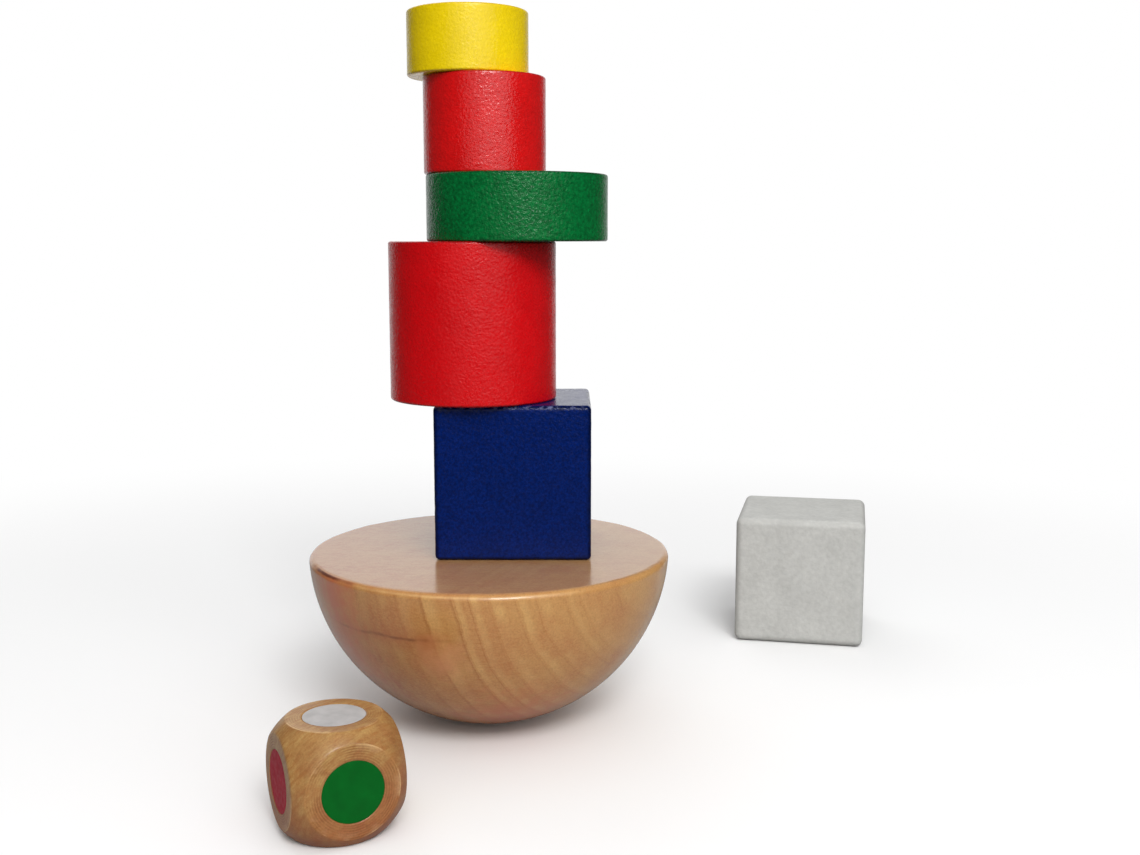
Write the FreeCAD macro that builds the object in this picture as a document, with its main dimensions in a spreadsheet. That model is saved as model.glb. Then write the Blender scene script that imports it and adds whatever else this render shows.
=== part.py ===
import FreeCAD, Part
import os
import Sketcher

# A wooden balancing game: a round-bottomed base with a tower of painted blocks on its flat top,
# and beside it, on the same table, a loose white block and a colour die.
# +Z is up and +Y points away from the player. The origin is where the round base touches the table.

# The driving sizes, in millimetres and degrees: name, value, what it measures.
SIZES = [
    ("base_diameter", 95.0, "round base, across its flat top"),
    ("base_height", 45.6, "round base, from the table to its flat top"),
    ("base_rim_round", 1.6, "round base, radius sanded on the rim"),
    ("cube_side", 40.0, "blue and white cube, side"),
    ("blue_edge_round", 1.0, "blue cube, radius sanded on the edges"),
    ("white_edge_round", 2.2, "white cube, radius sanded on the edges"),
    ("large_red_diameter", 43.6, "large red cylinder, diameter"),
    ("large_red_height", 41.0, "large red cylinder, height"),
    ("green_diameter", 47.0, "green disc, diameter"),
    ("green_height", 17.0, "green disc, height"),
    ("small_red_diameter", 31.4, "small red cylinder, diameter"),
    ("small_red_height", 24.5, "small red cylinder, height"),
    ("yellow_diameter", 31.0, "yellow disc, diameter"),
    ("yellow_height", 16.2, "yellow disc, height"),
    ("rod_end_chamfer", 0.5, "cylinders and discs, edge broken at both ends"),
    ("die_side", 25.4, "die, across opposite faces"),
    ("die_band", 2.3, "die, how far in from a face's edges the turned ball reaches"),
    ("die_rim_round", 0.5, "die, radius between each flat face and the ball"),
    ("spot_diameter", 13.7, "die, colour spot"),
    ("spot_film", 0.2, "die, thickness of a colour spot"),
    ("spot_setback", 0.05, "die, how far a spot lies below its face"),
    ("spot_margin", 0.05, "die, bare line round a spot"),
    ("blue_x", 6.7, "blue cube, right of the base's axis"),
    ("blue_y", 5.7, "blue cube, behind the base's axis"),
    ("large_red_x", -10.9, "large red cylinder, right of the blue cube's middle"),
    ("large_red_y", -2.2, "large red cylinder, behind the blue cube's middle"),
    ("green_x", 11.8, "green disc, right of the large red cylinder's axis"),
    ("green_y", -0.5, "green disc, behind the large red cylinder's axis"),
    ("small_red_x", -8.2, "small red cylinder, right of the green disc's axis"),
    ("small_red_y", -0.5, "small red cylinder, behind the green disc's axis"),
    ("yellow_x", -4.2, "yellow disc, right of the small red cylinder's axis"),
    ("yellow_y", 0.5, "yellow disc, behind the small red cylinder's axis"),
    ("white_x", 97.5, "white cube, right of the base's axis"),
    ("white_y", 80.0, "white cube, behind the base's axis"),
    ("white_turn", -12.0, "white cube, turn about its upright axis"),
    ("die_x", -29.7, "die, right of the base's axis"),
    ("die_y", -70.4, "die, behind the base's axis"),
    ("die_turn", 27.0, "die, turn about its upright axis"),
]
VALUE = {name: value for name, value, meaning in SIZES}

# The die's coloured faces: colour, and the rotation axis and angle that bring its top face there.
# The sixth face, the one that it lies on, is bare wood.
DIE_FACES = [
    ("white", "vector(0; 0; 1)", 0),
    ("green", "vector(1; 0; 0)", 90),
    ("blue", "vector(1; 0; 0)", -90),
    ("yellow", "vector(0; 1; 0)", 90),
    ("red", "vector(0; 1; 0)", -90),
]
# How far the floor of each spot's seat lies from the die's middle.
SEAT_FLOOR = "Sizes.die_side / 2 - Sizes.spot_film - Sizes.spot_setback"


def write_sheet(doc):
    """Puts the driving sizes in the document's spreadsheet, one alias each."""
    sheet = doc.addObject("Spreadsheet::Sheet", "Sizes")
    for row, (name, value, meaning) in enumerate(SIZES, start=1):
        sheet.set("A%d" % row, meaning)
        sheet.set("B%d" % row, str(value))
        sheet.setAlias("B%d" % row, name)
    doc.recompute()


def new_sketch(body, name, plane):
    """A sketch on one of the body's own origin planes."""
    sketch = body.newObject("Sketcher::SketchObject", name)
    origin_plane = [item for item in body.Origin.OriginFeatures if item.Role == plane][0]
    sketch.AttachmentSupport = [(origin_plane, "")]
    sketch.MapMode = "FlatFace"
    return sketch


def bind(sketch, name, constraint, expression):
    """Adds a dimension to a sketch, under a name of its own, and ties it to the sheet."""
    index = sketch.addConstraint(constraint)
    sketch.renameConstraint(index, name)
    sketch.setExpression("Constraints." + name, expression)


def edges_of(shape, wanted):
    """The names of a shape's edges for which wanted(edge) holds."""
    return ["Edge%d" % (i + 1) for i, edge in enumerate(shape.Edges) if wanted(edge)]


def is_ring(edge):
    """True for a whole circle, and not for a seam or for the point where a ball's surface closes."""
    return not edge.Degenerated and edge.isClosed()


def round_edges(body, feature, edges, radius):
    """Sands the named edges of a body's feature to a radius from the sheet."""
    fillet = body.newObject("PartDesign::Fillet", body.Name + "_round")
    fillet.Base = (feature, edges)
    fillet.setExpression("Radius", "Sizes." + radius)
    body.Tip = fillet


def make_base(doc):
    """The base, turned from a ball: an arc from the table to the rim, and a flat sawn top."""
    body = doc.addObject("PartDesign::Body", "round_base")
    sketch = new_sketch(body, "round_base_profile", "XZ_Plane")
    rim_x = VALUE["base_diameter"] / 2
    top_z = VALUE["base_height"]
    ball = (rim_x**2 + top_z**2) / (2 * top_z)
    table = FreeCAD.Vector(0, 0, 0)
    top = FreeCAD.Vector(0, top_z, 0)
    rim = FreeCAD.Vector(rim_x, top_z, 0)
    low_side = FreeCAD.Vector(ball * 0.5**0.5, ball - ball * 0.5**0.5, 0)
    arc = sketch.addGeometry(Part.Arc(table, low_side, rim))
    flat = sketch.addGeometry(Part.LineSegment(rim, top))
    axis = sketch.addGeometry(Part.LineSegment(top, table))
    # In a constraint, point 1 is an edge's start, 2 its end and 3 its centre;
    # edge -1 stands for the origin and the x axis, and -2 for the upright axis.
    sketch.addConstraint(
        [
            Sketcher.Constraint("Coincident", arc, 1, -1, 1),
            Sketcher.Constraint("Coincident", arc, 2, flat, 1),
            Sketcher.Constraint("Coincident", flat, 2, axis, 1),
            Sketcher.Constraint("Coincident", axis, 2, -1, 1),
            Sketcher.Constraint("PointOnObject", arc, 3, -2),
            Sketcher.Constraint("Vertical", axis),
            Sketcher.Constraint("Horizontal", flat),
        ]
    )
    across = Sketcher.Constraint("DistanceX", flat, 2, flat, 1, rim_x)
    height = Sketcher.Constraint("DistanceY", axis, 2, axis, 1, top_z)
    bind(sketch, "across", across, "Sizes.base_diameter / 2")
    bind(sketch, "height", height, "Sizes.base_height")
    turned = body.newObject("PartDesign::Revolution", "round_base_turned")
    turned.Profile = sketch
    turned.ReferenceAxis = (sketch, ["V_Axis"])
    turned.Angle = 360
    doc.recompute()
    round_edges(body, turned, edges_of(turned.Shape, is_ring), "base_rim_round")
    return body


def make_cube(doc, label, edge_round):
    """A cube block that stands on its own origin, with all twelve edges sanded."""
    body = doc.addObject("PartDesign::Body", label)
    sketch = new_sketch(body, label + "_square", "XY_Plane")
    half = VALUE["cube_side"] / 2
    corners = [(-half, -half), (half, -half), (half, half), (-half, half)]
    points = [FreeCAD.Vector(x, y, 0) for x, y in corners]
    for i in range(4):
        sketch.addGeometry(Part.LineSegment(points[i], points[(i + 1) % 4]))
    for i in range(4):
        sketch.addConstraint(Sketcher.Constraint("Coincident", i, 2, (i + 1) % 4, 1))
        sketch.addConstraint(Sketcher.Constraint(["Horizontal", "Vertical"][i % 2], i))
    sketch.addConstraint(Sketcher.Constraint("Symmetric", 0, 1, 1, 2, -1, 1))
    width = Sketcher.Constraint("DistanceX", 0, 1, 0, 2, 2 * half)
    depth = Sketcher.Constraint("DistanceY", 1, 1, 1, 2, 2 * half)
    bind(sketch, "width", width, "Sizes.cube_side")
    bind(sketch, "depth", depth, "Sizes.cube_side")
    sawn = body.newObject("PartDesign::Pad", label + "_sawn")
    sawn.Profile = sketch
    sawn.setExpression("Length", "Sizes.cube_side")
    doc.recompute()
    round_edges(body, sawn, edges_of(sawn.Shape, lambda edge: True), edge_round)
    return body


def make_cylinder(doc, label, size):
    """A length of round rod that stands on its own origin, with the edges broken at both ends."""
    body = doc.addObject("PartDesign::Body", label)
    sketch = new_sketch(body, label + "_section", "XY_Plane")
    middle = FreeCAD.Vector(0, 0, 0)
    up = FreeCAD.Vector(0, 0, 1)
    diameter = VALUE[size + "_diameter"]
    sketch.addGeometry(Part.Circle(middle, up, diameter / 2))
    sketch.addConstraint(Sketcher.Constraint("Coincident", 0, 3, -1, 1))
    across = Sketcher.Constraint("Diameter", 0, diameter)
    bind(sketch, "across", across, "Sizes." + size + "_diameter")
    sawn = body.newObject("PartDesign::Pad", label + "_sawn")
    sawn.Profile = sketch
    sawn.setExpression("Length", "Sizes." + size + "_height")
    doc.recompute()
    broken = body.newObject("PartDesign::Chamfer", label + "_broken")
    broken.Base = (sawn, edges_of(sawn.Shape, is_ring))
    broken.setExpression("Size", "Sizes.rod_end_chamfer")
    body.Tip = broken
    return body


def make_die(doc):
    """The die, centred on its own origin: a cube turned to a ball, with a shallow seat for each spot."""
    cube = doc.addObject("Part::Box", "die_cube")
    for side in ("Length", "Width", "Height"):
        cube.setExpression(side, "Sizes.die_side")
    for coordinate in "xyz":
        cube.setExpression("Placement.Base." + coordinate, "-Sizes.die_side / 2")
    ball = doc.addObject("Part::Sphere", "die_ball")
    flat_radius = "(Sizes.die_side / 2 - Sizes.die_band)"
    ball.setExpression("Radius", "sqrt((Sizes.die_side / 2)^2 + %s^2)" % flat_radius)
    turned = doc.addObject("Part::Common", "die_turned")
    turned.Base = cube
    turned.Tool = ball
    doc.recompute()

    smooth = doc.addObject("Part::Fillet", "die_smooth")
    smooth.Base = turned
    radius = VALUE["die_rim_round"]
    rims = [i + 1 for i, edge in enumerate(turned.Shape.Edges) if is_ring(edge)]
    smooth.Edges = [(number, radius, radius) for number in rims]

    seats = doc.addObject("Part::MultiFuse", "die_seats")
    seats.Shapes = [make_seat(doc, *face) for face in DIE_FACES]
    die = doc.addObject("Part::Cut", "die")
    die.Base = smooth
    die.Tool = seats
    return die


def face_place(axis, angle, height):
    """The placement, in the die's own frame, of something at a height over the centre of one face."""
    turn = "rotation(%s; %d)" % (axis, angle)
    return "placement(%s * vector(0; 0; %s); %s)" % (turn, height, turn)


def make_seat(doc, colour, axis, angle):
    """The tool that sinks one spot's seat into the die."""
    seat = doc.addObject("Part::Cylinder", "die_seat_" + colour)
    seat.setExpression("Radius", "Sizes.spot_diameter / 2 + Sizes.spot_margin")
    seat.setExpression("Height", "2 * (Sizes.spot_film + Sizes.spot_setback)")
    seat.setExpression("Placement", face_place(axis, angle, SEAT_FLOOR))
    return seat


def make_spot(doc, colour, axis, angle):
    """One round spot of colour, lying in its seat on the die."""
    spot = doc.addObject("Part::Cylinder", "die_spot_" + colour)
    spot.setExpression("Radius", "Sizes.spot_diameter / 2")
    spot.setExpression("Height", "Sizes.spot_film")
    spot.setExpression("Placement", "<<die>>.Placement * " + face_place(axis, angle, SEAT_FLOOR))
    return spot


def stack(piece, name, below, height):
    """Rests a tower block on the one below it, which has that height, shifted by the sheet's x and y."""
    for axis, shift in (("x", name + "_x"), ("y", name + "_y"), ("z", height)):
        place = "<<%s>>.Placement.Base.%s + Sizes.%s * 1 mm" % (below.Label, axis, shift)
        piece.setExpression("Placement.Base." + axis, place)


def set_apart(piece, name, height):
    """Sets a loose piece on the table beside the tower, turned; its own origin is at that height."""
    piece.setExpression("Placement.Base.x", "Sizes." + name + "_x")
    piece.setExpression("Placement.Base.y", "Sizes." + name + "_y")
    piece.setExpression("Placement.Base.z", height)
    piece.setExpression("Placement.Rotation.Angle", "Sizes." + name + "_turn")


def make_game(doc):
    """Makes every piece, stacks the tower on the base and sets the two loose pieces on the table."""
    base = make_base(doc)
    blue = make_cube(doc, "blue_cube", "blue_edge_round")
    large_red = make_cylinder(doc, "large_red_cylinder", "large_red")
    green = make_cylinder(doc, "green_disc", "green")
    small_red = make_cylinder(doc, "small_red_cylinder", "small_red")
    yellow = make_cylinder(doc, "yellow_disc", "yellow")
    white = make_cube(doc, "white_cube", "white_edge_round")
    die = make_die(doc)

    stack(blue, "blue", base, "base_height")
    stack(large_red, "large_red", blue, "cube_side")
    stack(green, "green", large_red, "large_red_height")
    stack(small_red, "small_red", green, "green_height")
    stack(yellow, "yellow", small_red, "small_red_height")
    set_apart(white, "white", "0")
    set_apart(die, "die", "Sizes.die_side / 2")
    spots = [make_spot(doc, *face) for face in DIE_FACES]
    return [base, blue, large_red, green, small_red, yellow, white, die] + spots


def check_and_write(doc, pieces):
    """Stops on any failed object or bad solid, and otherwise writes one STEP file for each piece."""
    for item in doc.Objects:
        if "Invalid" in item.State or "Error" in item.State:
            raise RuntimeError(item.Name + " failed to compute: " + str(item.State))
    for piece in pieces:
        shape = piece.Shape
        if shape.isNull() or not shape.isValid() or len(shape.Solids) != 1:
            raise RuntimeError(piece.Label + " is not one sound solid")
    os.makedirs("parts", exist_ok=True)
    for piece in pieces:
        piece.Shape.exportStep("parts/" + piece.Label + ".step")
        box = piece.Shape.BoundBox
        size = (box.XLength, box.YLength, box.ZLength)
        print("%-20s %6.1f x %5.1f x %5.1f mm" % ((piece.Label,) + size))


def main():
    doc = FreeCAD.newDocument("balancing_game")
    write_sheet(doc)
    pieces = make_game(doc)
    doc.recompute()
    check_and_write(doc, pieces)


main()
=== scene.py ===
"""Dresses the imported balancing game: turned beech, painted blocks, soft studio light, the photo's view."""

import math

import bmesh
import bpy
import numpy as np
from mathutils import Matrix, Vector, noise


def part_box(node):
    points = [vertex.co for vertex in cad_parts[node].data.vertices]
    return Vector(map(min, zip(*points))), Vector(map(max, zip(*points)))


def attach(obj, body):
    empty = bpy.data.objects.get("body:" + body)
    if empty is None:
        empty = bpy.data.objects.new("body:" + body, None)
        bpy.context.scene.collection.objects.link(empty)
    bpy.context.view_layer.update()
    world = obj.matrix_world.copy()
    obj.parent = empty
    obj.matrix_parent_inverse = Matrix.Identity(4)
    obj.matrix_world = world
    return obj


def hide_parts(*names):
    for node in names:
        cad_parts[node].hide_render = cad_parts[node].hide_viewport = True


# A millimetre, in metres.
MM = 0.001

# The camera: its place in metres, how far it looks down, and its lens and its sensor's width in millimetres.
CAMERA_PLACE = (0.0213, -0.3439, 0.1272)
CAMERA_DOWN = math.radians(8.13)
CAMERA_LENS = 41.66
CAMERA_SENSOR = 36.0

# The lamps: a tall window in front with a curtain beside it, a small lamp high up at the front, and a weak
# panel behind. Azimuths go from the front to the right; a foot is the height of a lamp's lower edge.
WINDOW_AZIMUTH = math.radians(24)
WINDOW_DISTANCE = 0.9
WINDOW_WIDTH = 1.02
WINDOW_FOOT = 0.10
WINDOW_HEIGHT = 2.2
WINDOW_WATTS = 9.0
CURTAIN_AZIMUTH = math.radians(-19)
CURTAIN_WIDTH = 0.42
CURTAIN_WATTS = 1.9
KEY_AZIMUTH = math.radians(14)
KEY_DISTANCE = 0.9
KEY_FOOT = 0.58
KEY_SIZE = 0.45
KEY_WATTS = 8.8
FILL_AZIMUTH = math.radians(200)
FILL_DISTANCE = 1.4
FILL_FOOT = 0.8
FILL_SIZE = 1.5
FILL_WATTS = 7.0

# The room's light on the object: from all round, more from the right than from the left, and from above.
ROOM_LIGHT = 0.10
ROOM_RIGHT = 0.14
CEILING_LIGHT = 0.60

# What gloss shows: a dim room, and behind the object a white backdrop, a little to the left. It fades in
# between these cosines of the angle from its middle.
ROOM_SHOWN = 0.06
BACKDROP_AIM = (-0.139, 0.990, 0.0)
BACKDROP_FADE = (0.75, 0.93)

# The floor: half its width, and how far it lies under the object. Then its greys: as the camera sees it, as
# gloss shows it, and as it lights the object, near and far. The fades are between distances from the middle:
# of the light that it gives back, and of its own look to plain white.
FLOOR_HALF = 6.0
FLOOR_DROP = 0.05 * MM
FLOOR_SEEN = 0.93
FLOOR_MIRRORED = 0.42
FLOOR_BOUNCE = 0.62
FLOOR_FAR_BOUNCE = 0.12
FLOOR_BOUNCE_FADE = (0.07, 0.20)
FLOOR_FADE = (0.14, 0.45)

# The meshes: how far apart the points lie on the base, the rods and the cubes; how many steps go over half of
# a cube's rounded edge; how many rings of a face of the die lie in the seat, on the flat and on the ball; how
# many points go round a spot; and how near the points are that get joined.
BASE_SPACING = 0.75 * MM
ROD_SPACING = 0.4 * MM
CUBE_SPACING = 0.46 * MM
CUBE_BEND_STEPS = 5
SEAT_RINGS = 9
FLAT_RINGS = 12
BALL_RINGS = 20
SPOT_SEGMENTS = 128
WELD_DISTANCE = 0.001 * MM

# The edges: the round of the base's rim and of the rods' ends, how far down the base's side is uneven, and
# from how far in a painted shade darkens the paint of the rods and the cubes to their edges.
BASE_ROUND = 1.6 * MM
ROD_ROUND = 0.6 * MM
UNEVEN_REACH = 3 * BASE_ROUND
ROD_EDGE_REACH = 1.0 * MM
CUBE_EDGE_REACH = 2.0 * MM

# The Z from which a normal counts as upright, and up to which it counts as level.
UPRIGHT = 0.99
LEVEL = 0.01

# The die: how far in from the cube's edges the flats end, and how wide their rims are rounded. Then its spots
# of paint: their radius and thickness, how deep they lie, and the gap round them.
DIE_BAND = 2.3 * MM
DIE_SOFT = 0.32 * MM
SPOT_RADIUS = 6.85 * MM
SPOT_THICK = 0.2 * MM
SPOT_SUNK = 0.05 * MM
SPOT_GAP = 0.05 * MM


# Meshes

def add_piece(name, points, faces, place, turn, material, node, attributes=None):
    """Makes a smooth mesh piece at a place, turned about +Z, that stands for a CAD node."""
    mesh = bpy.data.meshes.new(name)
    mesh.from_pydata([tuple(p) for p in points], [], faces)
    mesh.polygons.foreach_set("use_smooth", [True] * len(mesh.polygons))
    for label, values in (attributes or {}).items():
        mesh.attributes.new(label, "FLOAT", "POINT").data.foreach_set("value", values)
    mesh.materials.append(material)
    piece = bpy.data.objects.new(name, mesh)
    bpy.context.scene.collection.objects.link(piece)
    piece.location = place
    piece.rotation_euler = (0, 0, turn)
    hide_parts(node)
    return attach(piece, "root")


def relief(points, normals, height, wavelength, start):
    """Moves points along their normals by smooth noise; start picks the stretch of noise."""
    moved = np.array(points, float)
    for i, point in enumerate(moved):
        where = Vector(point) / wavelength + Vector((start, 0, 0))
        moved[i] = point + normals[i] * height * noise.fractal(where, 1.0, 2.0, 3)
    return moved


def lathe(profile, segments):
    """Turns a profile of (radius, height) rows, from the axis below to the axis above, about +Z."""
    rows = np.array(profile, float)
    angles = np.linspace(0, 2 * math.pi, segments, endpoint=False)
    ring = np.stack([np.cos(angles), np.sin(angles)], axis=1)
    tangent = np.gradient(rows, axis=0)
    tangent /= np.linalg.norm(tangent, axis=1)[:, None]
    points = [(0, 0, rows[0, 1])]
    normals = [(0, 0, -1)]
    for (radius, height), (along, up) in zip(rows[1:-1], tangent[1:-1]):
        points.extend((radius * c, radius * s, height) for c, s in ring)
        normals.extend((up * c, up * s, -along) for c, s in ring)
    points.append((0, 0, rows[-1, 1]))
    normals.append((0, 0, 1))

    def at(row, i):
        """The number of a ring's point; the point on the axis below comes before the rings."""
        return 1 + row * segments + i % segments

    last_row = len(rows) - 3
    faces = [(0, at(0, i + 1), at(0, i)) for i in range(segments)]
    for row in range(last_row):
        for i in range(segments):
            faces.append((at(row, i), at(row, i + 1), at(row + 1, i + 1), at(row + 1, i)))
    top = len(points) - 1
    faces.extend((top, at(last_row, i), at(last_row, i + 1)) for i in range(segments))
    return np.array(points), np.array(normals), faces


def line_rows(start, end, spacing):
    """Points along a straight run of a profile, without its last one."""
    count = max(1, round(math.dist(start, end) / spacing))
    return [tuple(np.array(start) + (np.array(end) - start) * i / count) for i in range(count)]


def arc_rows(centre, radius, first, last, spacing):
    """Points along an arc of a profile, from one angle to another, without its last one."""
    count = max(4, round(abs(last - first) * radius / spacing))
    angles = [first + (last - first) * i / count for i in range(count)]
    return [(centre[0] + radius * math.cos(a), centre[1] + radius * math.sin(a)) for a in angles]


def rod_profile(radius, height, edge, spacing):
    """The profile of a length of rod with both ends rounded off."""
    inner = radius - edge
    fine = edge / 4
    rows = line_rows((0, 0), (inner, 0), 2 * spacing)
    rows += arc_rows((inner, edge), edge, -math.pi / 2, 0, fine)
    rows += line_rows((radius, edge), (radius, height - edge), spacing)
    rows += arc_rows((inner, height - edge), edge, 0, math.pi / 2, fine)
    rows += line_rows((inner, height), (0, height), 2 * spacing)
    return rows + [(0, height)]


def base_profile(widest, height, edge, spacing):
    """The profile of the base: a ball's arc from the table to the rim, the rounded rim and the flat top."""
    across = widest - edge
    high = height - edge
    # The round touches the flat top, and the ball from inside.
    ball = (across**2 + high**2 - edge**2) / (2 * (high - edge))
    tangent = math.atan2(high - ball, across)
    rows = arc_rows((0, ball), ball, -math.pi / 2, tangent, spacing)
    rows += arc_rows((across, high), edge, tangent, math.pi / 2, edge / 10)
    rows += line_rows((across, height), (0, height), 2 * spacing)
    return rows + [(0, height)]


def cube_grid(steps):
    """The points and faces of a cube's surface, gridded at these steps from -half to half on each side."""
    count = len(steps)
    half = steps[-1]
    index = {}
    points = []

    def corner(point):
        """The number of a point, which the sides that meet there share."""
        key = tuple(round(value / MM, 5) for value in point)
        if key not in index:
            index[key] = len(points)
            points.append(point)
        return index[key]

    faces = []
    for axis in range(3):
        for side in (-half, half):
            grid = [[None] * count for _ in range(count)]
            for i, first in enumerate(steps):
                for j, second in enumerate(steps):
                    point = [0, 0, 0]
                    point[axis] = side
                    point[(axis + 1) % 3] = first
                    point[(axis + 2) % 3] = second
                    grid[i][j] = corner(tuple(point))
            for i in range(count - 1):
                for j in range(count - 1):
                    quad = (grid[i][j], grid[i + 1][j], grid[i + 1][j + 1], grid[i][j + 1])
                    faces.append(quad if side > 0 else quad[::-1])
    return np.array(points), faces


def rounded_cube(side, edge, spacing):
    """A cube with rounded edges, centred on its origin: its points, normals and faces."""
    flat = side / 2 - edge
    count = round(2 * flat / spacing)
    middle = np.linspace(-flat, flat, count + 1)
    bend = flat + edge * np.tan(np.linspace(0, math.pi / 4, CUBE_BEND_STEPS + 1))[1:]
    steps = np.concatenate([-bend[::-1], middle, bend])
    surface, faces = cube_grid(steps)
    core = np.clip(surface, -flat, flat)
    normals = surface - core
    normals /= np.linalg.norm(normals, axis=1)[:, None]
    return core + normals * edge, normals, faces


def edge_nearness(points, side, reach):
    """For each point of a cube's surface, 1 on an edge, falling to 0 at a distance of reach from it."""
    inward = side / 2 - np.sort(np.abs(points), axis=1)
    return np.clip(1 - inward[:, 1] / reach, 0, 1)


def die_face_grid(half, band, seat_radius, seat_depth, soft):
    """One face of the die, centred on +Z: a flat with a seat for its spot, and its share of the ball.

    Ring by ring from the middle, the grid goes from circles on the flat to the square of the cube's edges.
    The flat's rim is rounded over the width soft.
    """
    flat = half - band
    ball = math.hypot(half, flat)
    seat_rings = [(r, -seat_depth) for r in np.linspace(0, seat_radius, SEAT_RINGS)]
    flat_rings = [(r, 0.0) for r in np.linspace(seat_radius, flat, FLAT_RINGS)]
    if not seat_depth:
        # Without a step, the last ring of the seat and the first one of the flat are the same.
        flat_rings = flat_rings[1:]
    ball_steps = np.linspace(0, 1, BALL_RINGS)[1:]
    rings = seat_rings + flat_rings
    last = len(rings) + len(ball_steps) - 1
    points = []
    for i in range(-last, last + 1):
        for j in range(-last, last + 1):
            ring = max(abs(i), abs(j))
            angle, square = grid_angle(i, j)
            if ring < len(rings):
                radius, rise = rings[ring]
            else:
                step = ball_steps[ring - len(rings)]
                radius = flat + (half * square - flat) * step
                rise = 0.0
            there = Vector((radius * math.cos(angle), radius * math.sin(angle), half))
            reach = soft_minimum(ball, there.length, soft)
            there *= reach / there.length
            points.append(there + Vector((0, 0, rise)))
    row = 2 * last + 1
    faces = []
    for i in range(row - 1):
        for j in range(row - 1):
            at = i * row + j
            faces.append((at, at + row, at + row + 1, at + 1))
    return points, faces


def grid_angle(i, j):
    """The direction of a grid's cell (i, j) as an angle, and how much further out the square lies there."""
    if i == 0 and j == 0:
        return 0.0, 1.0
    if abs(i) >= abs(j):
        lean = math.pi / 4 * j / i
        return (lean if i > 0 else lean + math.pi), 1 / math.cos(lean)
    lean = math.pi / 4 * i / j
    return (math.pi / 2 - lean if j > 0 else -math.pi / 2 - lean), 1 / math.cos(lean)


def soft_minimum(first, second, width):
    """The smaller of two lengths, with the change from one to the other rounded over a width."""
    share = min(max(0.5 + 0.5 * (second - first) / width, 0), 1)
    return second + (first - second) * share - width * share * (1 - share)


# Shaders

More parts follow.
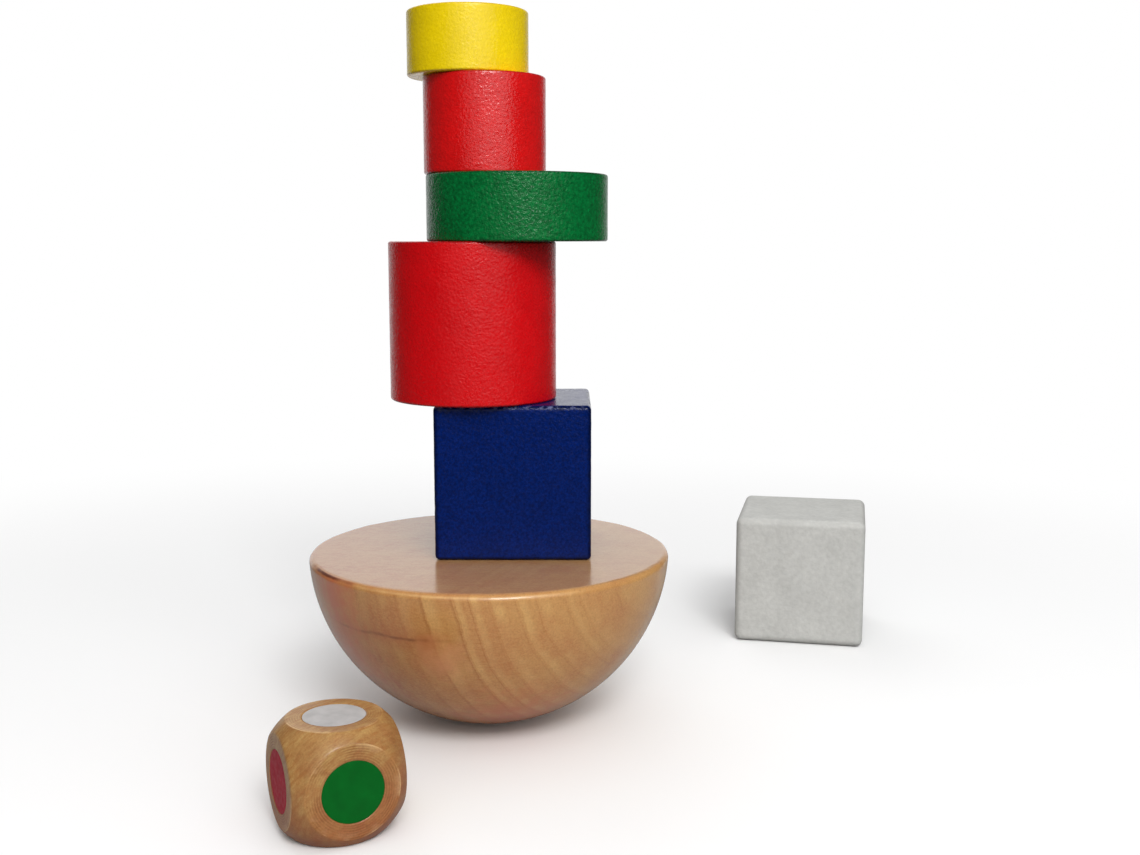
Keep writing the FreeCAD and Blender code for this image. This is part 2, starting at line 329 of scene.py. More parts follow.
class Shader:
    """The node tree of a material or a world, with short ways to add nodes and to join them."""

    def __init__(self, owner):
        owner.use_nodes = True
        self.owner = owner
        self.tree = owner.node_tree
        self.tree.nodes.clear()

    def add(self, kind, inputs=None, **settings):
        """Adds a node; inputs go by name or number to values or to other nodes' outputs."""
        node = self.tree.nodes.new(kind)
        for key, value in settings.items():
            setattr(node, key, value)
        for key, value in (inputs or {}).items():
            if isinstance(value, bpy.types.NodeSocket):
                self.tree.links.new(value, node.inputs[key])
            else:
                node.inputs[key].default_value = value
        return node

    def math(self, operation, first, second=0.0, clamp=False):
        """A calculation with one or two numbers, such as ADD or SINE."""
        node = self.add("ShaderNodeMath", {0: first, 1: second}, operation=operation, use_clamp=clamp)
        return node.outputs[0]

    def chain(self, operation, numbers):
        """The numbers, joined one after the other by an operation."""
        result = numbers[0]
        for number in numbers[1:]:
            result = self.math(operation, result, number)
        return result

    def total(self, *terms):
        """All the terms, added."""
        return self.chain("ADD", terms)

    def product(self, *factors):
        """All the factors, multiplied."""
        return self.chain("MULTIPLY", factors)

    def gap(self, first, second):
        """How far apart two numbers are."""
        return self.math("ABSOLUTE", self.math("SUBTRACT", first, second))

    def mix(self, share, first, second, blend="MIX"):
        """The first colour or grey, with a share of the second mixed in."""
        inputs = {0: share, 6: colour(first), 7: colour(second)}
        return self.add("ShaderNodeMix", inputs, data_type="RGBA", blend_type=blend).outputs[2]

    def dot(self, vector, direction):
        """How far a vector reaches along a direction."""
        inputs = {0: vector, 1: direction}
        return self.add("ShaderNodeVectorMath", inputs, operation="DOT_PRODUCT").outputs["Value"]

    def distance(self, first, second):
        """How far apart two points lie."""
        inputs = {0: first, 1: second}
        return self.add("ShaderNodeVectorMath", inputs, operation="DISTANCE").outputs["Value"]

    def split(self, vector):
        """The three parts of a vector, by the names X, Y and Z or by number."""
        return self.add("ShaderNodeSeparateXYZ", {0: vector}).outputs

    def place(self, scale=(1, 1, 1), turn=(0, 0, 0)):
        """The point on the piece, in its own metres, turned and then scaled."""
        at = self.add("ShaderNodeTexCoord").outputs["Object"]
        turned = self.add("ShaderNodeMapping", {"Vector": at, "Rotation": turn}).outputs[0]
        return self.add("ShaderNodeMapping", {"Vector": turned, "Scale": scale}).outputs[0]

    def noise(self, at, size, detail, rough=0.5):
        """Noise from 0 to 1 whose features are about that size in metres."""
        inputs = {"Vector": at, "Scale": 1 / size, "Detail": detail, "Roughness": rough}
        return self.add("ShaderNodeTexNoise", inputs).outputs["Fac"]

    def vary(self, at, size, low, high, window=(0.3, 0.7), detail=3.0, rough=0.5):
        """A number that goes from low to high as noise of about that size goes through the window."""
        return self.range(self.noise(at, size, detail, rough), *window, low, high)

    def shade(self, tint, factor):
        """A colour made lighter or darker by a factor."""
        inputs = {"Vector": colour(tint)[:3] if isinstance(tint, tuple) else tint, "Scale": factor}
        return self.add("ShaderNodeVectorMath", inputs, operation="SCALE").outputs["Vector"]

    def ramp(self, value, stops):
        """Maps a value to a colour or a grey, through (place, colour or grey) stops."""
        node = self.add("ShaderNodeValToRGB", {"Fac": value})
        elements = node.color_ramp.elements
        while len(elements) < len(stops):
            elements.new(1.0)
        for element, (place, shade) in zip(elements, stops):
            element.position = place
            element.color = colour(shade)
        return node.outputs["Color"]

    def range(self, value, low, high, to_low=0.0, to_high=1.0, **settings):
        """Maps a value from one range to another, and holds it there."""
        inputs = {"Value": value, "From Min": low, "From Max": high, "To Min": to_low, "To Max": to_high}
        return self.add("ShaderNodeMapRange", inputs, **settings).outputs["Result"]

    def bump(self, height, distance, normal=None):
        """The normal of a relief: a height from 0 to 1 times a distance in metres, over another relief."""
        inputs = {"Height": height, "Distance": distance, "Strength": 1.0}
        if normal:
            inputs["Normal"] = normal
        return self.add("ShaderNodeBump", inputs).outputs["Normal"]

    def attribute(self, name):
        """A number that the mesh keeps for each point."""
        return self.add("ShaderNodeAttribute", attribute_name=name).outputs["Fac"]

    def finish(self, shader):
        """Shows a surface shader, and gives the material back."""
        self.add("ShaderNodeOutputMaterial", {"Surface": shader})
        return self.owner


def new_shader(name):
    """The empty node tree of a new material."""
    return Shader(bpy.data.materials.new(name))


def colour(value):
    """A colour socket as it is, or a grey or an (r, g, b) as (r, g, b, 1)."""
    if isinstance(value, bpy.types.NodeSocket):
        return value
    if isinstance(value, (int, float)):
        return (value, value, value, 1.0)
    return (*value, 1.0)


def srgb(red, green, blue):
    """A colour given as 0 to 255 screen values, in linear light."""
    def linear(value):
        value /= 255
        return value / 12.92 if value <= 0.04045 else ((value + 0.055) / 1.055) ** 2.4
    return tuple(linear(value) for value in (red, green, blue))


# The colour of the painted glints on a cube's upper edges.
PAINT_GLINT = srgb(120, 128, 170)


def paint(name, base, edge, rough, gloss, peel, peel_size, mottle=0.06, patch=0.6 * MM, glint_height=None):
    """Thick paint on sanded wood: a clouded, mottled colour, a painted shade that darkens it at the edges,
    and an orange-peel skin.

    Peel is how steep the skin's dimples are, and peel_size how wide; gloss is the specular level; mottle is
    how strong the colour's specks are, and patch how wide. Edge is the colour of the painted shade at the
    edges. Above glint_height, a height over the piece's middle, the upper edges get painted glints, pale
    patches here and there.
    """
    s = new_shader(name)
    at = s.place()
    clouds = s.vary(at, 9 * MM, 0.94, 1.05)
    specks = s.vary(at, patch, 1 - mottle, 1 + mottle, rough=0.6)
    tint = s.shade(base, s.product(clouds, specks))
    # Painted shade: the colour darkens towards the edges, where the rounds turn away from the light.
    near_edge = s.attribute("edge")
    painted_edge_tone = s.total(near_edge, s.vary(at, 1.5 * MM, -0.12, 0.12, detail=2.0))
    tint = s.mix(s.range(painted_edge_tone, 0.40, 0.90, 0.0, 0.9), tint, edge)
    # Painted glints: on the upper edges, pale patches stand for the light that the rounds catch.
    if glint_height:
        glint_patches = s.vary(at, 1.6 * MM, 0.0, 1.0, window=(0.50, 0.62))
        upper = s.range(s.split(at)["Z"], glint_height - 0.3 * MM, glint_height, 0.0, 0.6)
        painted_highlight = s.product(s.range(near_edge, 0.55, 0.75), glint_patches, upper)
        tint = s.mix(painted_highlight, tint, PAINT_GLINT)
    roughness = s.vary(at, 2.5 * MM, rough - 0.04, rough + 0.06)
    fine = s.bump(s.noise(at, 0.35 * peel_size, 2.0, 0.6), 0.08 * peel * peel_size)
    skin = s.bump(s.noise(at, peel_size, 2.0, 0.55), peel * peel_size, fine)
    shader = s.add("ShaderNodeBsdfPrincipled", {
        "Base Color": tint, "Roughness": roughness, "Normal": skin, "Specular IOR Level": gloss})
    return s.finish(shader.outputs[0])


# The base's growth rings, as the photo shows them: planes across RING_NORMAL, at these values in millimetres
# of its dot product with a point, taken from the middle of the flat top. RING_REACH is how far out the rings'
# ramp goes, and RING_SOFT how soft a ring's line is.
RING_SLOPE = 0.387
RING_NORMAL = (1.0, -RING_SLOPE, 0.21)
RING_LINES = (-44, -34, -25, -16, -9, -3, 3.6, 11.8, 15.9, 20.8, 26.9, 31.4, 37.0, 39.7, 46)
RING_REACH = 60.0
RING_SOFT = 0.35

# The colours of the base's wood, and a factor for the flat top that paints a shade and a bluish reflection on
# it.
BASE_MID = srgb(186, 136, 80)
BASE_LIGHT = srgb(204, 160, 98)
BASE_DARK = srgb(158, 104, 58)
# The next colour is the pale of the painted highlight on the rim's round.
BASE_RIM_HIGHLIGHT = srgb(236, 194, 134)
BASE_RED = srgb(168, 98, 56)
BASE_BROWN = srgb(104, 54, 32)
BASE_ROSE = srgb(190, 106, 68)
BASE_WARM = srgb(204, 138, 92)
BASE_TOP_SHADE_AND_REFLECTION = (0.87, 0.93, 1.18)

# The base's patches of another colour: middle and radius in millimetres, strength, colour. They lie at the
# wavy line's end, under the rim at the left, on the left flank, in front, and low in front.
BASE_PATCHES = (
    ((-12.5, -43, 32.6), 3.5, 0.6, BASE_RED),
    ((-37, -29.4, 41), 12.0, 1.1, BASE_ROSE),
    ((-34, -25, 25), 15.0, 0.9, BASE_ROSE),
    ((-9.5, -43, 28), 8.0, 0.8, BASE_WARM),
    ((8, -28, 4), 20.0, 0.9, BASE_ROSE))

# The wavy dark line on the base's left side: its height, and how wide its redder halo is on each side.
LINE_HEIGHT = 33.5 * MM
LINE_HALO = 4.0 * MM

# The dark streak on the rim's round, in millimetres: its middle, its radius and its strength. Its depths
# under the flat top are where it ends above, where it is full, and where it ends below.
STREAK_MIDDLE = (-39.4, -26.3)
STREAK_RADIUS = 13.0
STREAK_STRENGTH = 1.4
STREAK_DEPTHS = (0.2, 0.3, 0.6, 1.0)

# The painted highlight on the rim's round in front, a pale line: its middle, between which distances from
# there it fades, half its width, and its strength.
HIGHLIGHT_MIDDLE = (-4 * MM, -47 * MM)
HIGHLIGHT_FADE = (16 * MM, 32 * MM)
HIGHLIGHT_HALF = 0.4 * MM
HIGHLIGHT_STRENGTH = 0.45


def base_beech(top):
    """Varnished beech of the base; top is the height of its flat top."""
    s = new_shader("beech_base")
    at = s.place()
    parts = s.split(at)
    across, tint = base_rings(s, at, parts["Z"], top)
    tint, dashes = base_grain(s, at, across, tint)
    flat = s.range(parts["Z"], top - 0.3 * MM, top - 0.1 * MM)
    # Painted shade and a painted bluish reflection of the blue cube: the flat top is darkened and tinted
    # blue.
    tint = s.mix(flat, tint, BASE_TOP_SHADE_AND_REFLECTION, "MULTIPLY")
    tint = base_marks(s, at, parts, top, s.math("SUBTRACT", 1.0, flat), tint)
    sanded = s.bump(dashes, 0.012 * MM)
    wavy = s.bump(s.noise(at, 6 * MM, 2.0), 0.05 * MM, sanded)
    shader = s.add("ShaderNodeBsdfPrincipled", {
        "Base Color": tint, "Roughness": 0.5, "Normal": sanded, "Specular IOR Level": 0.1,
        "Coat Weight": 1.0, "Coat Roughness": 0.20, "Coat IOR": 1.5, "Coat Normal": wavy})
    return s.finish(shader.outputs[0])


def base_rings(s, at, height, top):
    """How far across the growth rings a point lies, and the colour of the wood there."""
    from_top = s.add("ShaderNodeVectorMath", {0: at, 1: (0, 0, -top)}, operation="ADD").outputs["Vector"]
    wander = s.vary(at, 18 * MM, -1.0 * MM, 1.0 * MM, window=(0.2, 0.8))
    ragged = s.vary(at, 1.2 * MM, -0.25 * MM, 0.25 * MM, window=(0.2, 0.8))
    across = s.total(s.dot(from_top, RING_NORMAL), wander, ragged)
    position = s.range(across, -RING_REACH * MM, RING_REACH * MM)

    # Each year's wood darkens up to its line, and starts light again behind it.
    soft = RING_SOFT / (2 * RING_REACH)
    stops = []
    for line in RING_LINES:
        place = (line + RING_REACH) / (2 * RING_REACH)
        stops += [(place - soft, 1.0), (place + soft, 0.0)]
    season = s.ramp(position, stops)
    rings = s.ramp(season, [
        (0.0, BASE_LIGHT), (0.25, BASE_LIGHT), (0.5, BASE_MID), (0.86, BASE_MID), (0.97, BASE_DARK)])

    # The rings are clear in the middle of the side, and faint at the left, at the right and on the flat top.
    from_left = s.range(across, -10 * MM, 3 * MM, 0.3, 1.0)
    to_right = s.range(across, 14 * MM, 36 * MM, 1.0, 0.3)
    on_side = s.range(height, top - 0.9 * MM, top - 0.4 * MM, 1.0, 0.22)
    broken = s.vary(at, 5 * MM, 0.6, 1.0, window=(0.3, 0.6), rough=0.6)
    return across, s.mix(s.product(from_left, to_right, on_side, broken), BASE_MID, rings)


def base_grain(s, at, across, tint):
    """The colour, redder and darker towards the left and below, with the fine grain; and the grain's dashes
    by themselves.
    """
    # The wood grows redder and darker towards the left and below, in clouds.
    lean = s.dot(at, (-0.6, 0, -0.8))
    clouds = s.vary(at, 9 * MM, -0.35, 0.35, detail=5.0, rough=0.62)
    redness = s.math("ADD", s.range(lean, -42 * MM, 4 * MM, 0.10, 0.80), clouds, clamp=True)
    tint = s.mix(redness, tint, BASE_RED)

    # Upright streaks, mostly at the left.
    upright = s.vary(s.place(scale=(1, 1, 0.10)), 2.2 * MM, 0.0, 0.5, window=(0.42, 0.62), rough=0.6)
    leftness = s.range(across, -14 * MM, 0.0, 1.0, 0.15)
    tint = s.mix(s.product(upright, leftness), tint, BASE_MID)

    # Dark flecks along the rings, pale dashes across them, and fine specks.
    along_rings = s.place(scale=(1, 0.25, 0.25), turn=(0, 0, math.atan(RING_SLOPE)))
    flecks = s.vary(along_rings, 0.40 * MM, 0.0, 0.30, window=(0.58, 0.74), detail=2.0, rough=0.6)
    tint = s.mix(flecks, tint, BASE_DARK)
    dashes = s.noise(s.place(scale=(0.15, 1, 1)), 0.45 * MM, 3.0, 0.6)
    tint = s.mix(s.range(dashes, 0.35, 0.7, 0.0, 0.25), tint, BASE_LIGHT)
    specks = s.vary(at, 0.45 * MM, 0.88, 1.10, rough=0.6)
    return s.shade(tint, specks), dashes


def base_marks(s, at, parts, top, off_top, tint):
    """The colour with the marks that the photo shows; off_top is 0 on the flat top and 1 elsewhere."""
    # The wavy dark line on the left side, and its halo.
    wave = s.vary(at, 12 * MM, -0.8 * MM, 0.8 * MM, window=(0.2, 0.8), detail=2.0)
    off_line = s.gap(parts["Z"], s.math("SUBTRACT", LINE_HEIGHT, wave))
    along = s.ramp(s.range(parts["X"], -40 * MM, 0), [(0.0, 0.0), (0.2, 1.0), (0.7, 1.0), (0.85, 0.0)])
    halo = s.product(s.range(off_line, 0.0, LINE_HALO, 0.5, 0.0), along)
    tint = s.mix(halo, tint, BASE_RED)
    faint = s.vary(at, 3 * MM, 0.3, 1.0, window=(0.3, 0.6), detail=2.0)
    line = s.product(s.range(off_line, 0.1 * MM, 0.6 * MM, 0.60, 0.0), along, faint)
    tint = s.mix(line, tint, BASE_BROWN)

    for middle, radius, share, patch in BASE_PATCHES:
        tint = s.mix(s.product(near(s, at, middle, radius, share), off_top), tint, patch)

    # The dark streak on the rim's round, at the left.
    end_above, full_above, full_below, end_below = (top - depth * MM for depth in STREAK_DEPTHS)
    streak = s.product(
        s.range(parts["Z"], end_below, full_below),
        s.range(parts["Z"], full_above, end_above, 1.0, 0.0),
        near(s, at, (*STREAK_MIDDLE, top / MM), STREAK_RADIUS, STREAK_STRENGTH))
    tint = s.mix(s.math("MINIMUM", streak, 1.0), tint, BASE_BROWN)

    # A painted highlight: a pale line along the middle of the rim's round, in front.
    off_middle = s.gap(parts["Z"], top - 0.5 * BASE_ROUND)
    uneven = s.vary(at, 4 * MM, 0.5, 1.0, window=(0.3, 0.6))
    ahead = s.range(s.distance(at, (*HIGHLIGHT_MIDDLE, top)), *HIGHLIGHT_FADE, HIGHLIGHT_STRENGTH, 0.0)
    painted_highlight = s.product(s.range(off_middle, 0.0, HIGHLIGHT_HALF, 1.0, 0.0), uneven, ahead)
    return s.mix(painted_highlight, tint, BASE_RIM_HIGHLIGHT)


def near(s, at, middle, radius, share):
    """A soft, ragged patch round a point, in millimetres: share in its middle, 0 from its radius on."""
    distance = s.distance(at, tuple(value * MM for value in middle))
    ragged = s.vary(at, 3 * MM, -0.25 * radius * MM, 0.25 * radius * MM)
    return s.range(s.total(distance, ragged), 0.0, radius * MM, share, 0.0)


# The colours of the die's wood, and how far apart the cutter's rings are on it.
DIE_MID = srgb(156, 108, 60)
DIE_LIGHT = srgb(178, 143, 86)
DIE_DARK = srgb(128, 80, 44)
DIE_RED = srgb(147, 86, 52)
# The pale colour of the painted highlight on the rims of the flats.
DIE_RIM_HIGHLIGHT = srgb(222, 190, 140)
CUTTER_PITCH = 0.55 * MM


def die_beech(half, flat):
    """Varnished beech of the die, with the cutter's rings on the flats, which have the radius flat."""
    s = new_shader("beech_die")
    at = s.place()
    bands = s.noise(s.place(scale=(0.2, 0.2, 1), turn=(0.9, 0.4, 0)), 0.7 * MM, 3.0, 0.6)
    tint = s.mix(s.range(bands, 0.3, 0.65, 0.0, 0.8), DIE_MID, DIE_LIGHT)

    # It is redder below and to the right, in clouds, and has short dark pores.
    lean = s.dot(at, (0.3, 0, -0.95))
    clouds = s.vary(at, 5 * MM, -0.35, 0.35, window=(0.25, 0.75), detail=4.0, rough=0.55)
    redness = s.math("ADD", s.range(lean, -half, half, -0.1, 1.0), clouds, clamp=True)
    tint = s.mix(redness, tint, DIE_RED)
    stretched = s.place(scale=(0.3, 1, 0.3))
    pores = s.vary(stretched, 0.35 * MM, 0.0, 0.35, window=(0.55, 0.70), detail=2.0, rough=0.6)
    tint = s.mix(pores, tint, DIE_DARK)

    # On each pair of faces, the distance from the axis through them gives the cutter's rings.
    parts = s.split(at)
    cut = None
    edge = None
    for axis in range(3):
        others = [parts[(axis + 1) % 3], parts[(axis + 2) % 3]]
        squares = [s.product(value, value) for value in others]
        radius = s.math("SQRT", s.total(*squares))
        wave = s.math("SINE", s.product(radius, 2 * math.pi / CUTTER_PITCH))
        on_face = s.math("GREATER_THAN", s.math("ABSOLUTE", parts[axis]), half - 0.12 * MM)
        share = s.product(wave, on_face, s.range(radius, flat, flat + 0.8 * MM, 1.0, 0.0), 0.5)
        cut = share if cut is None else s.total(cut, share)
        # Painted highlight: a pale line on the rim of each flat, and a paler band just inside it, where the
        # varnish catches the light.
        near_edge = s.range(s.gap(radius, flat), 0.0, 0.5 * MM, 1.0, 0.0)
        painted_sheen_band = s.range(radius, flat - 1.8 * MM, flat, 0.0, 0.6)
        painted_rim_highlight = s.product(s.math("MAXIMUM", near_edge, painted_sheen_band), on_face)
        edge = painted_rim_highlight if edge is None else s.math("MAXIMUM", edge, painted_rim_highlight)

    # The cuts are deeper in some places, and the rims of the flats carry a painted highlight in some.
    deep = s.vary(at, 6 * MM, 0.08, 0.75, window=(0.42, 0.62))
    tint = s.mix(s.product(s.total(cut, 0.5), deep), tint, DIE_DARK)
    painted_edge_tone = s.vary(at, 5 * MM, 0.0, 0.45, window=(0.48, 0.62))
    tint = s.mix(s.product(edge, painted_edge_tone), tint, DIE_RIM_HIGHLIGHT)
    tint = s.shade(tint, s.vary(at, 0.40 * MM, 0.88, 1.12, rough=0.6))
    normal = s.bump(s.product(cut, deep), 0.03 * MM, s.bump(bands, 0.03 * MM))
    shader = s.add("ShaderNodeBsdfPrincipled", {
        "Base Color": tint, "Roughness": 0.5, "Normal": normal, "Specular IOR Level": 0.1,
        "Coat Weight": 0.45, "Coat Roughness": 0.24, "Coat IOR": 1.5, "Coat Normal": normal})
    return s.finish(shader.outputs[0])


# The colours of the die's spots.
SPOT_COLOURS = {
    "white": srgb(178, 176, 175), "green": srgb(0, 90, 26), "blue": srgb(0, 34, 104),
    "yellow": srgb(222, 190, 20), "red": srgb(166, 12, 42)}


def film(name, base):
    """A pressed spot of paint: nearly flat colour with a slight cloud and a fine satin skin."""
    s = new_shader(name)
    at = s.place()
    clouds = s.vary(at, 3 * MM, 0.0, 1.0)
    tint = s.mix(clouds, tuple(0.88 * c for c in base), tuple(1.08 * c for c in base))
    roughness = s.vary(at, 1.0 * MM, 0.42, 0.55, detail=2.0)
    normal = s.bump(s.noise(at, 0.7 * MM, 2.0), 0.012 * MM)
    shader = s.add("ShaderNodeBsdfPrincipled", {
        "Base Color": tint, "Roughness": roughness, "Normal": normal, "Specular IOR Level": 0.1})
    return s.finish(shader.outputs[0])


# Pieces

def middle_of(node):
    """The middle of a CAD node's box."""
    low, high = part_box(node)
    return (low + high) / 2


def turn_of(node):
    """How far a cube is turned about +Z, from its largest side face, within 45 degrees either way."""
    sides = [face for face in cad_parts[node].data.polygons if abs(face.normal.z) < LEVEL]
    normal = max(sides, key=lambda face: face.area).normal
    angle = math.atan2(normal.y, normal.x)
    quarter = math.pi / 2
    return (angle + quarter / 2) % quarter - quarter / 2


def make_rod(node, material, start):
    """A painted length of rod in the place of its CAD node."""
    low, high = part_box(node)
    radius = (high.x - low.x) / 2
    height = high.z - low.z
    segments = round(2 * math.pi * radius / ROD_SPACING)
    points, normals, faces = lathe(rod_profile(radius, height, ROD_ROUND, ROD_SPACING), segments)
    from_side = radius - np.hypot(points[:, 0], points[:, 1])
    from_end = np.minimum(points[:, 2], height - points[:, 2])
    data = {"edge": np.clip(1 - np.maximum(from_side, from_end) / ROD_EDGE_REACH, 0, 1)}
    # The flat ends stay flat, so that the blocks lie on each other.
    on_side = np.abs(normals[:, 2]) < UPRIGHT
    points = relief(points, normals * on_side[:, None], height=0.03 * MM, wavelength=6 * MM, start=start)
    place = (middle_of(node).x, middle_of(node).y, low.z)
    add_piece(node + "_painted", points, faces, place, 0, material, node, data)


def make_cube(node, material, start, edge, wear):
    """A painted cube in the place of its CAD node, with edges that wear has made uneven."""
    low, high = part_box(node)
    side = high.z - low.z
    points, normals, faces = rounded_cube(side, edge, CUBE_SPACING)
    nearness = edge_nearness(points, side, CUBE_EDGE_REACH)
    points = relief(points, normals * nearness[:, None], height=wear, wavelength=1.6 * MM, start=start)
    data = {"edge": nearness}
    add_piece(node + "_painted", points, faces, middle_of(node), turn_of(node), material, node, data)


def make_base():
    """The varnished base in the place of its CAD node, with a side that is a little uneven near the rim."""
    low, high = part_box("round_base")
    widest = (high.x - low.x) / 2
    segments = round(2 * math.pi * widest / BASE_SPACING)
    points, normals, faces = lathe(base_profile(widest, high.z, BASE_ROUND, BASE_SPACING), segments)
    at_rim = np.clip(1 - (high.z - points[:, 2]) / UNEVEN_REACH, 0, 1)
    at_rim[normals[:, 2] >= UPRIGHT] = 0
    points = relief(points, normals * at_rim[:, None], height=0.10 * MM, wavelength=7 * MM, start=61.0)
    material = base_beech(high.z)
    add_piece("round_base_varnished", points, faces, (0, 0, 0), 0, material, "round_base")


def make_die():
    """The die's body, from six like faces, and its five spots of colour."""
    low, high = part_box("die")
    centre = middle_of("die")
    half = (high.z - low.z) / 2
    normals = {name: (middle_of("die_spot_" + name) - centre).normalized() for name in SPOT_COLOURS}
    turn = math.atan2(normals["green"].x, -normals["green"].y)
    back = Matrix.Rotation(-turn, 3, "Z")

    points = []
    faces = []
    bare = {"bare": Vector((0, 0, -1))}
    for name, normal in {**normals, **bare}.items():
        depth = 0.0 if name == "bare" else SPOT_THICK + SPOT_SUNK
        share, quads = die_face_grid(half, DIE_BAND, SPOT_RADIUS + SPOT_GAP, depth, DIE_SOFT)
        rotation = facing(back @ normal)
        faces += [tuple(corner + len(points) for corner in quad) for quad in quads]
        points += [rotation @ point for point in share]
    material = die_beech(half, half - DIE_BAND)
    die = add_piece("die_turned", points, faces, centre, turn, material, "die")
    weld(die, WELD_DISTANCE)

    for name, base in SPOT_COLOURS.items():
        disc, _, quads = lathe(spot_profile(), SPOT_SEGMENTS)
        rotation = facing(back @ normals[name])
        lift = Vector((0, 0, half - SPOT_SUNK - SPOT_THICK))
        placed = [rotation @ (Vector(point) + lift) for point in disc]
        material = film("film_" + name, base)
        node = "die_spot_" + name
        add_piece(node + "_film", placed, quads, centre, turn, material, node)


def spot_profile():
    """The profile of a spot of paint, with its upper rim rounded off."""
    rows = [(0, 0)] + line_rows((0.3 * MM, 0), (SPOT_RADIUS, 0), 1 * MM)
    # The rim goes straight up, and then inwards over two more points.
    rows += [(SPOT_RADIUS, 0), (SPOT_RADIUS, 0.6 * SPOT_THICK), (SPOT_RADIUS - 0.03 * MM, 0.9 * SPOT_THICK)]
    rows += line_rows((SPOT_RADIUS - 0.1 * MM, SPOT_THICK), (0, SPOT_THICK), 0.6 * MM)
    return rows + [(0, SPOT_THICK)]


def facing(normal):
    """The rotation that brings +Z to one of the six axis directions."""
    return Vector((0, 0, 1)).rotation_difference(normal).to_matrix()


def weld(piece, distance):
    """Joins the points of a mesh that lie on each other."""
    work = bmesh.new()
    work.from_mesh(piece.data)
    bmesh.ops.remove_doubles(work, verts=work.verts, dist=distance)
    work.to_mesh(piece.data)
    work.free()


# Stage

def make_floor():
    """A pale floor that keeps the shadow near the object and fades to plain white further out."""
    corners = [(-1, -1), (1, -1), (1, 1), (-1, 1)]
    mesh = bpy.data.meshes.new("floor")
    mesh.from_pydata([(x * FLOOR_HALF, y * FLOOR_HALF, -FLOOR_DROP) for x, y in corners], [], [(0, 1, 2, 3)])
    floor = bpy.data.objects.new("floor", mesh)
    bpy.context.scene.collection.objects.link(floor)

    s = new_shader("floor")
    camera, mirror = seen_rays(s)
    seen = s.math("MAXIMUM", camera, mirror)
    at = s.place()
    distance = s.add("ShaderNodeVectorMath", {0: at}, operation="LENGTH").outputs["Value"]
    bounce = s.range(distance, *FLOOR_BOUNCE_FADE, FLOOR_BOUNCE, FLOOR_FAR_BOUNCE)
    grey = s.mix(camera, s.mix(mirror, bounce, FLOOR_MIRRORED), FLOOR_SEEN)
    lit = s.add("ShaderNodeBsdfDiffuse", {"Color": grey}).outputs[0]
    away = s.add("ShaderNodeVectorMath", {0: at}, operation="NORMALIZE").outputs["Vector"]
    plain = s.add("ShaderNodeEmission", {"Strength": seen_strength(s, away, camera)}).outputs[0]
    fade = s.range(distance, *FLOOR_FADE, interpolation_type="SMOOTHSTEP")
    surface = s.add("ShaderNodeMixShader", {0: s.product(seen, fade), 1: lit, 2: plain}).outputs[0]
    mesh.materials.append(s.finish(surface))


def seen_rays(s):
    """1 for the camera's rays, and 1 for those of gloss and glass."""
    path = s.add("ShaderNodeLightPath").outputs
    return path["Is Camera Ray"], s.math("MAXIMUM", path["Is Glossy Ray"], path["Is Transmission Ray"])


def seen_strength(s, direction, camera):
    """How bright the surroundings show: plain white to the camera, and to gloss a backdrop in a dim room."""
    backdrop = s.range(s.dot(direction, BACKDROP_AIM), *BACKDROP_FADE, ROOM_SHOWN, 1.0)
    return s.math("MAXIMUM", camera, backdrop)


def make_world():
    """The surroundings: what the camera and gloss see of them, and the room that lights the object."""
    world = bpy.data.worlds.new("studio")
    bpy.context.scene.world = world
    s = Shader(world)
    camera, mirror = seen_rays(s)
    direction = s.add("ShaderNodeTexCoord").outputs["Generated"]
    parts = s.split(direction)
    right = s.product(parts["X"], ROOM_RIGHT)
    above = s.product(s.math("MAXIMUM", parts["Z"], 0.0), CEILING_LIGHT)
    room = s.total(ROOM_LIGHT, right, above)
    seen = s.math("MAXIMUM", camera, mirror)
    shown = s.product(seen, seen_strength(s, direction, camera))
    hidden = s.product(s.math("SUBTRACT", 1.0, seen), room)
    background = s.add("ShaderNodeBackground", {"Color": colour(1.0), "Strength": s.total(shown, hidden)})
    s.add("ShaderNodeOutputWorld", {"Surface": background.outputs[0]})


def make_lamp(name, azimuth, distance, foot, size, watts):
    """An upright panel of soft light that faces the object's middle."""
    lamp = bpy.data.lights.new(name, "AREA")
    lamp.shape = "RECTANGLE"
    lamp.size, lamp.size_y = size
    lamp.energy = watts
    holder = bpy.data.objects.new(name, lamp)
    bpy.context.scene.collection.objects.link(holder)
    across = Vector((math.sin(azimuth), -math.cos(azimuth), 0))
    holder.location = distance * across + Vector((0, 0, foot + lamp.size_y / 2))
    holder.rotation_euler = across.to_track_quat("Z", "Y").to_euler()


def make_camera():
    """The camera from which the photo shows the object."""
    data = bpy.data.cameras.new("camera")
    data.sensor_width = CAMERA_SENSOR
    data.lens = CAMERA_LENS
    camera = bpy.data.objects.new("camera", data)
    bpy.context.scene.collection.objects.link(camera)
    camera.location = CAMERA_PLACE
    camera.rotation_euler = (math.pi / 2 - CAMERA_DOWN, 0, 0)
    bpy.context.scene.camera = camera


# The scene

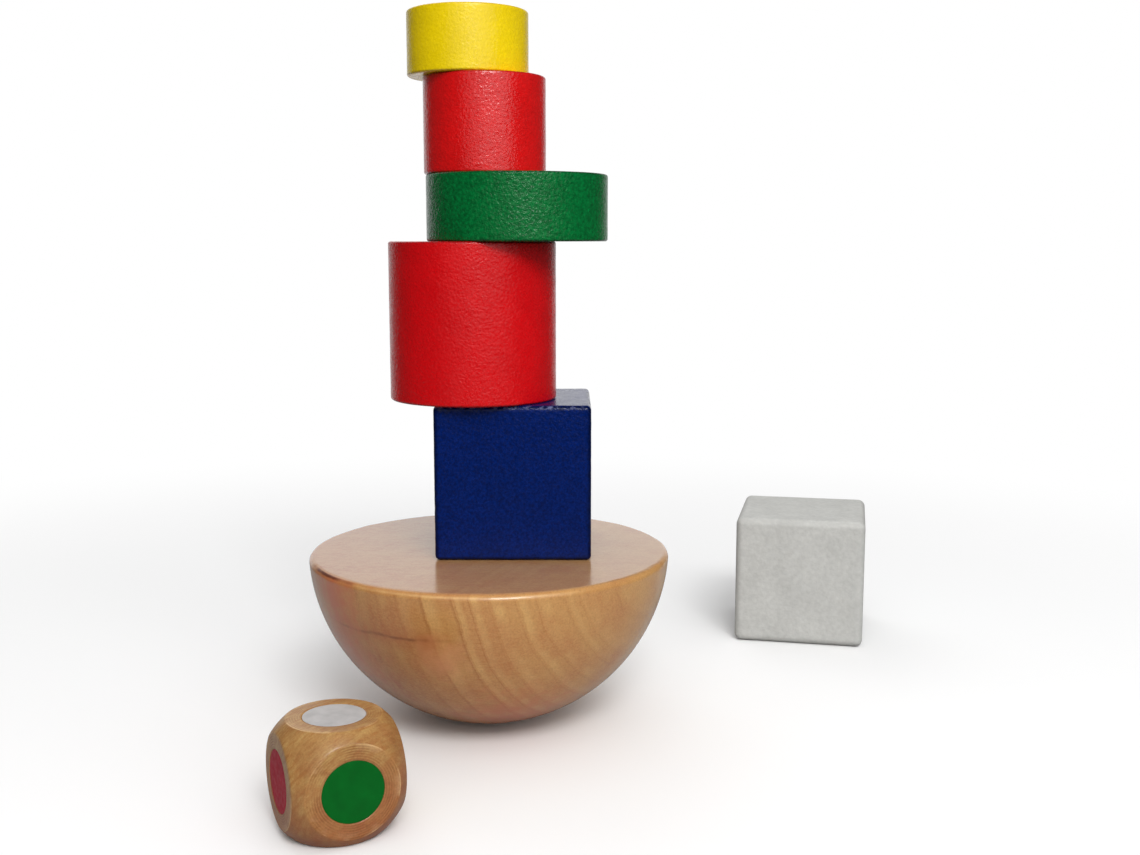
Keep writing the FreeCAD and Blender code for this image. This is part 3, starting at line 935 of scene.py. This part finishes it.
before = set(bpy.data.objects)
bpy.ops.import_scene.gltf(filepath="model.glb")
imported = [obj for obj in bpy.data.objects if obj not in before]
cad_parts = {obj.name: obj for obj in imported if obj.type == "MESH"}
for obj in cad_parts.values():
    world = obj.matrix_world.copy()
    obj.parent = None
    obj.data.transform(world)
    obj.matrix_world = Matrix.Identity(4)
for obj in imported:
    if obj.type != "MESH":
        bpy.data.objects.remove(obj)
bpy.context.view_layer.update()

make_camera()
make_world()
window = (WINDOW_WIDTH, WINDOW_HEIGHT)
curtain = (CURTAIN_WIDTH, WINDOW_HEIGHT)
make_lamp("window", WINDOW_AZIMUTH, WINDOW_DISTANCE, WINDOW_FOOT, window, WINDOW_WATTS)
make_lamp("curtain", CURTAIN_AZIMUTH, WINDOW_DISTANCE, WINDOW_FOOT, curtain, CURTAIN_WATTS)
make_lamp("key", KEY_AZIMUTH, KEY_DISTANCE, KEY_FOOT, (KEY_SIZE, KEY_SIZE), KEY_WATTS)
make_lamp("fill", FILL_AZIMUTH, FILL_DISTANCE, FILL_FOOT, (FILL_SIZE, FILL_SIZE), FILL_WATTS)
make_floor()

make_base()
blue = paint(
    "paint_blue", base=srgb(0, 24, 86), edge=srgb(0, 6, 34), rough=0.18, gloss=0.15, peel=0.18,
    peel_size=0.7 * MM, mottle=0.38, glint_height=19.2 * MM)
red = paint(
    "paint_red", base=srgb(199, 4, 12), edge=srgb(128, 2, 10), rough=0.26, gloss=0.37, peel=0.24,
    peel_size=0.7 * MM)
green = paint(
    "paint_green", base=srgb(0, 98, 44), edge=srgb(0, 42, 20), rough=0.20, gloss=0.24, peel=0.40,
    peel_size=0.8 * MM, mottle=0.36, patch=0.9 * MM)
glossy_red = paint(
    "paint_glossy_red", base=srgb(206, 9, 11), edge=srgb(150, 4, 8), rough=0.19, gloss=0.66, peel=0.23,
    peel_size=0.7 * MM, mottle=0.10, patch=0.9 * MM)
yellow = paint(
    "paint_yellow", base=srgb(231, 201, 0), edge=srgb(194, 160, 6), rough=0.25, gloss=0.42, peel=0.18,
    peel_size=0.7 * MM)
white = paint(
    "paint_white", base=srgb(189, 189, 185), edge=srgb(183, 183, 179), rough=0.55, gloss=0.25, peel=0.10,
    peel_size=1.4 * MM, mottle=0.07, patch=1.4 * MM)
make_cube("blue_cube", blue, start=1.0, edge=1.3 * MM, wear=0.08 * MM)
make_rod("large_red_cylinder", red, start=11.0)
make_rod("green_disc", green, start=21.0)
make_rod("small_red_cylinder", glossy_red, start=31.0)
make_rod("yellow_disc", yellow, start=41.0)
make_cube("white_cube", white, start=51.0, edge=2.2 * MM, wear=0.05 * MM)
make_die()

bpy.context.scene.view_settings.view_transform = "Standard"
